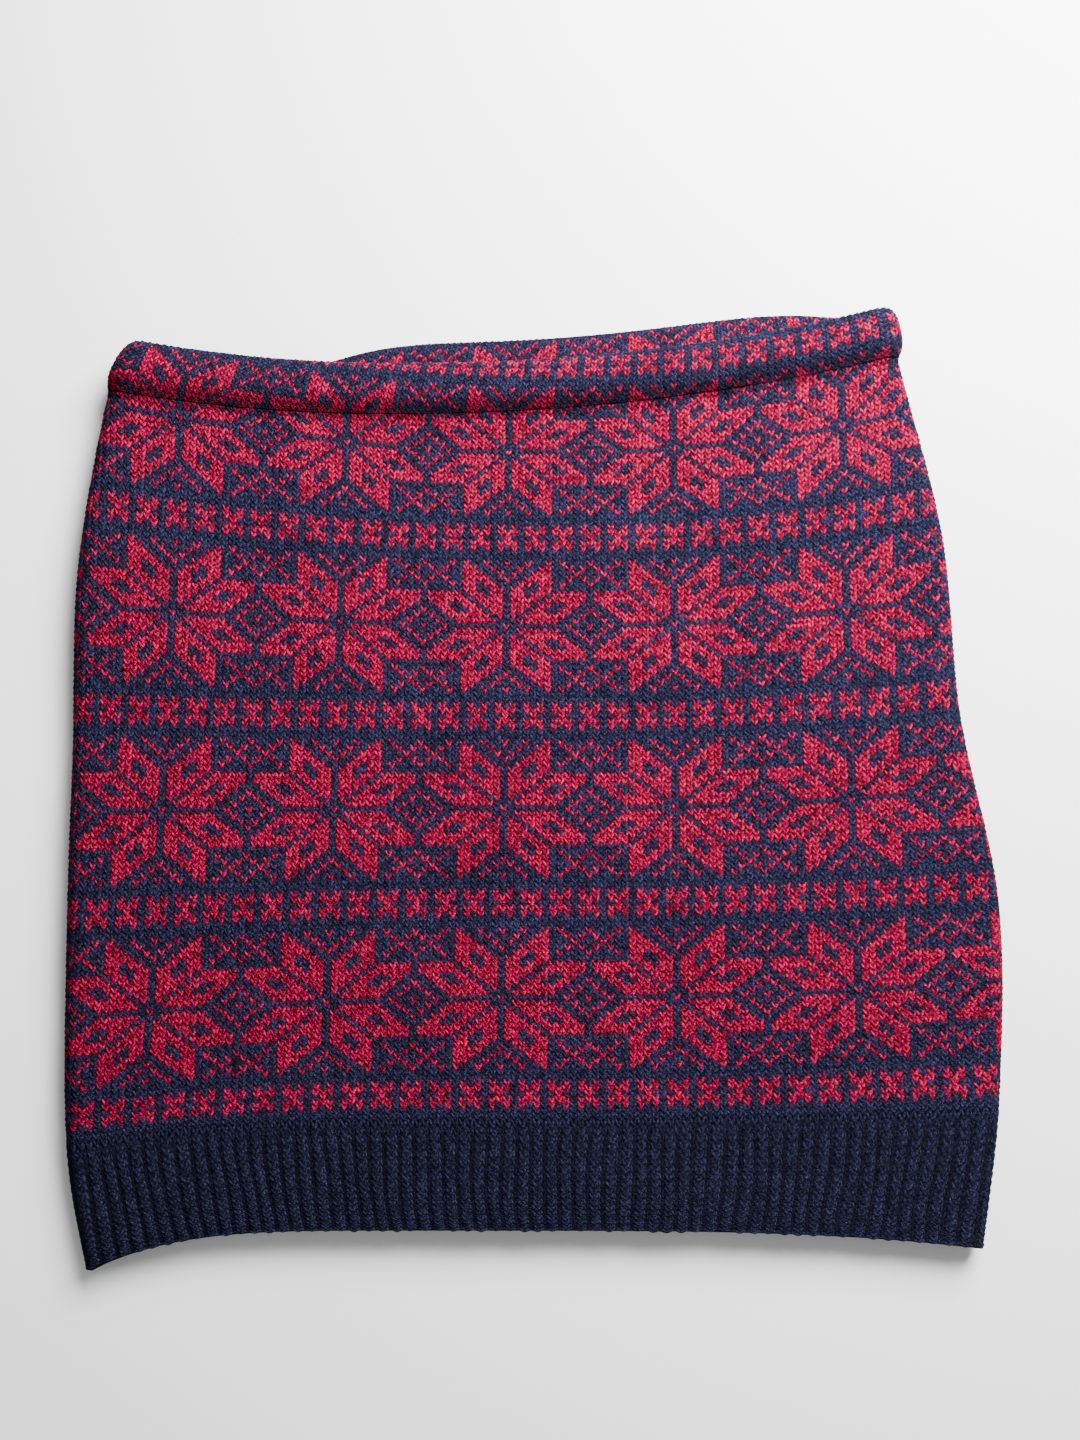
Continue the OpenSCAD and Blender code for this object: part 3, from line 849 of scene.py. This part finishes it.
SEAM_INSET = 1.15  # how far inside the fabric's edge a side seam's yarn lies
SEAM_STEPS, GROOVE_STEPS = 900, 1500
GROOVE_DROP, GROOVE_SINK = 0.6, 1.5  # how far the sewing thread lies below the waist seam and inside it


def seam_path(end, steps):
    """The side seam, just inside the edge of the fabric, from the hem to just below the casing."""
    g = np.linspace(0, WAIST_LEVEL - 0.1, steps)
    turn = end * math.pi / 2 + 0 * g
    line = place(end + 0 * g, turn, g, 1, 0 * g)
    ahead = np.gradient(line, axis=0)
    ahead /= np.linalg.norm(ahead[:, :2], axis=1)[:, None]
    inwards = -end * np.stack([ahead[:, 1], -ahead[:, 0], 0 * g], -1)
    return line + inwards * (KNIT_T / 2 + SEAM_INSET)


def groove_path(count):
    """The sewing thread in the groove under the casing, right round the waist."""
    share, turn, side = waist_round(count + 1)
    g = WAIST_LEVEL - GROOVE_DROP / QUARTER_H + 0 * share
    out = KNIT_T / 2 - GROOVE_SINK
    front = place(share, turn, g, 1, out - DIP * np.cos(turn) ** 2)
    return np.where((side > 0)[:, None], front, place(share, turn, g, -1, out))[:-1]


# ---------------------------------------------------------------------------------------------------------
# Materials
# ---------------------------------------------------------------------------------------------------------


class Shader:
    """A short way to write a material: each call adds a node and gives its output."""

    def __init__(self, name):
        self.material = bpy.data.materials.new(name)
        self.material.use_nodes = True
        self.tree = self.material.node_tree
        self.principled = self.tree.nodes["Principled BSDF"]

    def feed(self, socket, value):
        if isinstance(value, bpy.types.NodeSocket):
            self.tree.links.new(value, socket)
        elif socket.type == "RGBA":
            socket.default_value = (*value, 1)
        else:
            socket.default_value = value

    def node(self, kind, output=0, settings=None, **inputs):
        node = self.tree.nodes.new(kind)
        for key, value in (settings or {}).items():
            setattr(node, key, value)
        for key, value in inputs.items():
            numbered = key[0] == "n" and key[1:].isdigit()
            self.feed(node.inputs[int(key[1:]) if numbered else key], value)
        return node.outputs[output]

    def math(self, operation, a, b=0.0):
        return self.node("ShaderNodeMath", settings={"operation": operation}, n0=a, n1=b)

    def product(self, a, b):
        return self.math("MULTIPLY", a, b)

    def sum(self, a, b):
        return self.math("ADD", a, b)

    def value(self, label):
        return self.node("ShaderNodeAttribute", "Fac", {"attribute_name": label})

    def mix(self, share, a, b, blend="MIX"):
        settings = {"data_type": "RGBA", "blend_type": blend, "clamp_result": False}
        return self.node("ShaderNodeMix", 2, settings, n0=share, n6=a, n7=b)

    def noise(self, where, scale, detail=3.0, rough=0.6):
        inputs = {"Vector": where, "Scale": scale, "Detail": detail, "Roughness": rough}
        return self.node("ShaderNodeTexNoise", "Fac", **inputs)

    def shaded(self, colour, level):
        """A colour made darker or lighter by a level."""
        grey = self.node("ShaderNodeCombineColor", n0=level, n1=level, n2=level)
        return self.mix(1.0, colour, grey, "MULTIPLY")

    def ramp(self, value, low, high, to_low=0.0, to_high=1.0):
        settings = {"interpolation_type": "SMOOTHSTEP"}
        ends = {"n1": low, "n2": high, "n3": to_low, "n4": to_high}
        return self.node("ShaderNodeMapRange", settings=settings, n0=value, **ends)

    def finish(self, colour, height, strength, distance, **sockets):
        bump = self.node("ShaderNodeBump", "Normal", Strength=strength, Distance=distance, Height=height)
        self.feed(self.principled.inputs["Base Color"], colour)
        self.feed(self.principled.inputs["Normal"], bump)
        for key, value in sockets.items():
            self.feed(self.principled.inputs[key.replace("_", " ")], value)
        return self.material


def yarn_height(s, u, v):
    """Nearness to a stitch's side, roundness across a leg, and the slanting plies, from the stitch map."""
    aside = s.math("PINGPONG", u, 0.5)
    leg = s.math("SINE", s.product(s.math("PINGPONG", s.sum(v, 0.5), 0.5), math.pi))
    plies = s.math("SINE", s.product(s.sum(s.product(aside, 2.6), v), 2 * math.pi * 2))
    return aside, leg, plies


def stray_fibres(s, local):
    """Thin bent lines: the borders of a stretched cell pattern whose places are shaken by noise."""
    where = s.node("ShaderNodeMapping", Vector=local, Scale=(1.0, 1.6, 1.0), Rotation=(0, 0, 0.5))
    shake = s.node("ShaderNodeTexNoise", "Color", Vector=local, Scale=210.0, Detail=1.0)
    shaken = s.node("ShaderNodeVectorMath", settings={"operation": "ADD"}, n0=where, n1=shake)
    settings = {"feature": "DISTANCE_TO_EDGE"}
    cells = s.node("ShaderNodeTexVoronoi", "Distance", settings, Vector=shaken, Scale=240.0)
    return s.ramp(cells, 0.035, 0.0)


def red_over(s, navy, heather, fibre, local, colours):
    """Red yarn where the chart has it. Its lint strays onto the navy, and navy wool covers it in blots."""
    red = s.mix(s.ramp(heather, 0.36, 0.62), colours.red_dark, colours.red)
    red = s.mix(s.ramp(fibre, 0.56, 0.78), red, colours.red_fleck)
    near = s.value("near")
    lint = s.product(near, s.ramp(fibre, 0.56, 0.70))
    navy = s.mix(s.product(lint, 0.7), navy, colours.red)
    blot = s.noise(local, 900.0, 2.0, 0.6)
    cover = s.product(s.ramp(near, 0.75, 0.2), s.ramp(blot, 0.46, 0.60))
    shown = s.product(s.value("red"), s.math("SUBTRACT", 1.0, s.product(cover, 0.75)))
    return s.mix(shown, navy, red)


def knit_material(name, colours, patterned):
    """Wool knit. The yarn's colour comes from the chart, and every leg has a tone of its own.

    The stitch map gives each leg a round section and slanting plies, and paints shade between the courses,
    beside each wale and in the notch where a stitch's legs meet. Fine noise on the object's own coordinates
    gives the wool its heather and its pale stray fibres. A patterned knit is brighter than the plain rib, and
    less dark in the middle of its stitches; the rib's darkness is partly painted shade for the light that
    falls off towards the hem.
    """
    # The rib's lower brightness and heart paint it darker, in part as painted shade for the light falling off
    # towards the hem.
    flecks_end, brightness, heart = (0.76, 0.62, 1.0) if patterned else (0.68, 0.44, 0.7)
    s = Shader(name)
    local = s.node("ShaderNodeTexCoord", "Object")
    split = s.tree.nodes.new("ShaderNodeSeparateXYZ")
    s.feed(split.inputs[0], s.node("ShaderNodeUVMap", settings={"uv_map": "stitches"}))
    aside, leg, plies = yarn_height(s, split.outputs[0], split.outputs[1])
    fibre = s.noise(local, 1900.0, 3.0, 0.7)
    heather = s.noise(local, 620.0, 2.0, 0.6)
    cloud = s.noise(local, 26.0, 3.0, 0.55)
    yarn = s.mix(s.ramp(heather, 0.40, 0.64), colours.navy_dark, colours.navy)
    yarn = s.mix(s.ramp(fibre, 0.56, flecks_end), yarn, colours.navy_fleck)
    if patterned:
        yarn = red_over(s, yarn, heather, fibre, local, colours)
    level = s.sum(s.sum(s.product(s.value("tone"), 0.5), s.product(cloud, 0.36)), brightness)
    # Painted shade between two courses of legs, beside each wale and in the notch where a stitch's legs meet,
    # with a slight painted highlight on each leg's middle.
    painted_gap_shade = s.product(s.ramp(leg, 0.0, 0.7, 0.12, 1.15), s.ramp(aside, 0.5, 0.32, 0.35, 1.0))
    painted_gap_shade = s.product(painted_gap_shade, s.ramp(aside, 0.0, 0.15, 0.5, heart))
    level = s.product(level, painted_gap_shade)
    # The face layer dark adds painted shade in the rib's furrows and under the front casing, and darkens the
    # lining and the cut edges.
    level = s.product(level, s.math("SUBTRACT", 1.0, s.value("dark")))
    colour = s.shaded(yarn, level)
    colour = s.mix(s.product(stray_fibres(s, local), 0.04), colour, colours.fuzz)
    height = s.sum(s.sum(s.product(leg, 0.55), s.product(plies, 0.16)), s.product(fibre, 0.55))
    return s.finish(
        colour, height, 0.65, 0.0006,
        Roughness=0.92, Specular_IOR_Level=0.01, Sheen_Weight=0.02, Sheen_Roughness=0.45,
        Sheen_Tint=colours.fuzz,
    )


def thread_material(name, colour, dark, sheen):
    """Spun thread or woven elastic: fine fibre over a colour whose tone changes slowly."""
    s = Shader(name)
    local = s.node("ShaderNodeTexCoord", "Object")
    fibre = s.noise(local, 2600.0, 3.0, 0.65)
    cloud = s.noise(local, 60.0, 2.0, 0.5)
    yarn = s.mix(s.ramp(fibre, 0.38, 0.66), dark, colour)
    level = s.sum(s.sum(s.product(s.value("tone"), 0.18), s.product(cloud, 0.25)), 0.78)
    return s.finish(
        s.shaded(yarn, level), fibre, 0.5, 0.0003,
        Roughness=0.8, Specular_IOR_Level=0.2, Sheen_Weight=sheen, Sheen_Roughness=0.5,
    )


# ---------------------------------------------------------------------------------------------------------
# What a user may change
# ---------------------------------------------------------------------------------------------------------


class SkirtSizes(PropertyGroup):
    relief: FloatProperty(
        name="Stitch relief", description="Depth of the stitches, as a share of the usual", default=1.0,
        min=0.0, max=1.6, subtype="FACTOR",
    )
    unevenness: FloatProperty(
        name="Unevenness", description="How uneven the stitches are, as a share of the usual", default=1.0,
        min=0.0, max=2.0, subtype="FACTOR",
    )
    rib_depth: FloatProperty(
        name="Rib depth", description="Depth of the furrows between the ribs, in millimetres", default=0.95,
        min=0.2, max=1.8,
    )
    seam_radius: FloatProperty(
        name="Seam yarn radius", description="Radius of the yarn in the side seams, in millimetres",
        default=0.8, min=0.4, max=1.0,
    )
    casing_thread_radius: FloatProperty(
        name="Casing thread radius", description="Radius of the thread under the casing, in millimetres",
        default=0.5, min=0.3, max=0.7,
    )
    join_thread_radius: FloatProperty(
        name="Join thread radius", description="Radius of the zigzag that joins the elastic, in millimetres",
        default=0.22, min=0.15, max=0.3,
    )


def colour_property(name, description, default):
    limits = {"size": 3, "min": 0, "max": 1, "subtype": "COLOR"}
    return FloatVectorProperty(name=name, description=description, default=default, **limits)


class SkirtColours(PropertyGroup):
    navy: colour_property("Navy", "Navy wool in the light", (0.0130, 0.0135, 0.0420))
    navy_dark: colour_property("Dark navy", "Navy wool between its paler fibres", (0.0015, 0.002, 0.008))
    navy_fleck: colour_property("Navy fleck", "Pale blue fibres in the navy wool", (0.058, 0.064, 0.145))
    red: colour_property("Red", "Red wool in the light", (0.290, 0.000, 0.032))
    red_dark: colour_property("Dark red", "Red wool between its paler fibres", (0.052, 0.000, 0.005))
    red_fleck: colour_property("Red fleck", "Pink fibres in the red wool", (0.640, 0.001, 0.135))
    fuzz: colour_property("Fuzz", "Stray fibres on the wool", (0.62, 0.62, 0.80))
    elastic: colour_property("Elastic", "Woven elastic", (0.78, 0.77, 0.73))
    elastic_dark: colour_property("Dark elastic", "Between the elastic's threads", (0.52, 0.51, 0.48))


class SkirtStage(PropertyGroup):
    tilt: FloatProperty(
        name="Camera tilt", description="Angle of the camera from straight down", default=math.radians(10.0),
        min=0.0, max=math.radians(80), subtype="ANGLE",
    )
    distance: FloatProperty(
        name="Camera distance", description="From the middle of the view to the camera", default=0.600,
        min=0.2, max=3.0, subtype="DISTANCE", unit="LENGTH",
    )
    lens: FloatProperty(
        name="Lens", description="Focal length of the camera, in millimetres", default=30.0, min=10, max=200,
    )
    key_power: FloatProperty(
        name="Key light", description="Power of the big soft light above the waist", default=54.0,
        min=0, max=200, subtype="POWER", unit="POWER",
    )
    fill_power: FloatProperty(
        name="Fill light", description="Power of the soft light above the hem", default=1.0, min=0, max=200,
        subtype="POWER", unit="POWER",
    )


# ---------------------------------------------------------------------------------------------------------
# Operators
# ---------------------------------------------------------------------------------------------------------


def shared_material(name, make):
    return bpy.data.materials.get(name) or make()


def knit_finish(scene, patterned):
    name = "star_patterned_wool" if patterned else "navy_wool_rib"
    return shared_material(name, lambda: knit_material(name, scene.skirt_colours, patterned))


def navy_yarn_finish(scene):
    c = scene.skirt_colours
    make = lambda: thread_material("navy_seam_yarn", c.navy, c.navy_dark, 0.3)
    return shared_material("navy_seam_yarn", make)


class SKIRT_OT_bodies(Operator):
    """Build the patterned front and back of the skirt"""

    bl_idname = "skirt.bodies"
    bl_label = "Patterned body"

    def execute(self, context):
        scene = context.scene
        for name, side, under in (("knitted_front", 1, ["knitted_back"]), ("knitted_back", -1, [])):
            piece = body_face(name, side, scene.skirt_sizes)
            node = "front_body" if side > 0 else "back_body"
            finish_piece(piece, node, knit_finish(scene, True))
        return {"FINISHED"}


class SKIRT_OT_ribs(Operator):
    """Build the ribbed hem, front and back"""

    bl_idname = "skirt.ribs"
    bl_label = "Ribbed hem"

    def execute(self, context):
        scene = context.scene
        for name, side in (("ribbed_hem_front", 1), ("ribbed_hem_back", -1)):
            piece = hem_rib(name, side, scene.skirt_sizes)
            node = "front_hem_rib" if side > 0 else "back_hem_rib"
            finish_piece(piece, node, knit_finish(scene, False))
        return {"FINISHED"}


class SKIRT_OT_casings(Operator):
    """Build the turned-over waist casing, front and back"""

    bl_idname = "skirt.casings"
    bl_label = "Waist casing"

    def execute(self, context):
        scene = context.scene
        for name, side in (("waist_casing_front", 1), ("waist_casing_back", -1)):
            piece = waist_casing(name, side, scene.skirt_sizes)
            node = "front_waist_casing" if side > 0 else "back_waist_casing"
            finish_piece(piece, node, knit_finish(scene, True))
        return {"FINISHED"}


class SKIRT_OT_elastic(Operator):
    """Build the woven elastic in the casing, and the zigzag thread that joins its ends"""

    bl_idname = "skirt.elastic"
    bl_label = "Waist elastic"

    def execute(self, context):
        scene = context.scene
        c = scene.skirt_colours
        white = thread_material("woven_elastic", c.elastic, c.elastic_dark, 0.1)
        band = woven_elastic("woven_elastic_band")
        finish_piece(band, "waist_elastic", white)
        radius = scene.skirt_sizes.join_thread_radius
        thread = build_tube("elastic_zigzag", zigzag_path(radius), radius, twist=2.2)
        pale = thread_material("elastic_sewing_thread", c.elastic, c.elastic_dark, 0.2)
        finish_piece(thread, "elastic_join_thread", pale)
        return {"FINISHED"}


class SKIRT_OT_seams(Operator):
    """Build the yarn of the side seams and the thread under the casing"""

    bl_idname = "skirt.seams"
    bl_label = "Seams"

    def execute(self, context):
        scene = context.scene
        sizes = scene.skirt_sizes
        navy = navy_yarn_finish(scene)
        seams = (("left_seam_yarn", -1, "left_side_seam"), ("right_seam_yarn", 1, "right_side_seam"))
        for name, end, node in seams:
            yarn = build_tube(name, seam_path(end, SEAM_STEPS), sizes.seam_radius, twist=2.6)
            finish_piece(yarn, node, navy)
        path = groove_path(GROOVE_STEPS)
        groove = build_tube("casing_sewing_thread", path, sizes.casing_thread_radius, closed=True)
        finish_piece(groove, "casing_seam_thread", navy)
        return {"FINISHED"}


def area_light(name, where, size, power, aim):
    """A soft rectangular light that faces a point."""
    data = bpy.data.lights.new(name, "AREA")
    data.shape, data.size, data.size_y, data.energy = "RECTANGLE", size[0], size[1], power
    light = bpy.data.objects.new(name, data)
    bpy.context.scene.collection.objects.link(light)
    light.location = where
    away = np.array(where) - np.array(aim)
    pan = math.atan2(away[0], -away[1])
    light.rotation_euler = (math.atan2(math.hypot(away[0], away[1]), away[2]), 0, pan)
    return light


# The stage, in metres
FLOOR_REACH = 3.0
CAMERA_AIM = (0.006, 0.0205, 0.0)
SENSOR_WIDTH = 36.0  # in millimetres
FAR = 20.0
KEY_PLACE, KEY_SIZE, KEY_AIM = (0.42, 0.60, 0.55), (0.7, 0.5), (0.05, 0.15, 0.0)
FILL_PLACE, FILL_SIZE = (0.5, -0.75, 1.2), (1.2, 1.0)
ROOM_LIGHT = 0.36


class SKIRT_OT_stage(Operator):
    """Build the pale floor, the soft lights and the camera"""

    bl_idname = "skirt.stage"
    bl_label = "Stage"

    def execute(self, context):
        scene = context.scene
        s = scene.skirt_stage
        mesh = bpy.data.meshes.new("floor")
        corners = [(x * FLOOR_REACH, y * FLOOR_REACH, 0) for x, y in ((-1, -1), (1, -1), (1, 1), (-1, 1))]
        mesh.from_pydata(corners, [], [(0, 1, 2, 3)])
        floor = bpy.data.objects.new("floor", mesh)
        scene.collection.objects.link(floor)
        shader = Shader("pale_paper")
        grain = shader.noise(shader.node("ShaderNodeTexCoord", "Object"), 300.0, 3.0, 0.5)
        paper = shader.finish((0.93, 0.93, 0.93), grain, 0.05, 0.0002, Roughness=0.9, Specular_IOR_Level=0.1)
        mesh.materials.append(paper)
        world = bpy.data.worlds.new("soft_room")
        world.use_nodes = True
        background = world.node_tree.nodes["Background"]
        background.inputs["Color"].default_value = (1.0, 1.0, 1.0, 1)
        background.inputs["Strength"].default_value = ROOM_LIGHT
        scene.world = world
        area_light("key_light", KEY_PLACE, KEY_SIZE, s.key_power, KEY_AIM)
        area_light("fill_light", FILL_PLACE, FILL_SIZE, s.fill_power, CAMERA_AIM)
        data = bpy.data.cameras.new("camera")
        data.lens, data.sensor_width, data.clip_end = s.lens, SENSOR_WIDTH, FAR
        camera = bpy.data.objects.new("camera", data)
        scene.collection.objects.link(camera)
        x, y, z = CAMERA_AIM
        camera.location = (x, y - s.distance * math.sin(s.tilt), z + s.distance * math.cos(s.tilt))
        camera.rotation_euler = (s.tilt, 0, 0)
        scene.camera = camera
        return {"FINISHED"}


class SKIRT_PT_panel(Panel):
    bl_label = "Knitted skirt"
    bl_idname = "SKIRT_PT_panel"
    bl_space_type = "VIEW_3D"
    bl_region_type = "UI"
    bl_category = "Knitted skirt"

    def draw(self, context):
        for group in (context.scene.skirt_sizes, context.scene.skirt_colours, context.scene.skirt_stage):
            box = self.layout.box()
            for key in group.__annotations__:
                box.prop(group, key)
        for operator in OPERATORS:
            self.layout.operator(operator.bl_idname)


GROUPS = (SkirtSizes, SkirtColours, SkirtStage)
OPERATORS = (
    SKIRT_OT_stage, SKIRT_OT_bodies, SKIRT_OT_ribs, SKIRT_OT_casings, SKIRT_OT_elastic, SKIRT_OT_seams,
)


def register():
    for item in (*GROUPS, *OPERATORS, SKIRT_PT_panel):
        bpy.utils.register_class(item)
    bpy.types.Scene.skirt_sizes = PointerProperty(type=SkirtSizes)
    bpy.types.Scene.skirt_colours = PointerProperty(type=SkirtColours)
    bpy.types.Scene.skirt_stage = PointerProperty(type=SkirtStage)


def unregister():
    for key in ("skirt_sizes", "skirt_colours", "skirt_stage"):
        delattr(bpy.types.Scene, key)
    for item in reversed((*GROUPS, *OPERATORS, SKIRT_PT_panel)):
        bpy.utils.unregister_class(item)


def main():
    """Registers the add-on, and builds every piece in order."""
    register()
    bpy.ops.skirt.stage()
    bpy.ops.skirt.bodies()
    bpy.ops.skirt.ribs()
    bpy.ops.skirt.casings()
    bpy.ops.skirt.elastic()
    bpy.ops.skirt.seams()
    bpy.context.view_layer.update()


if __name__ == "__main__":
    main()
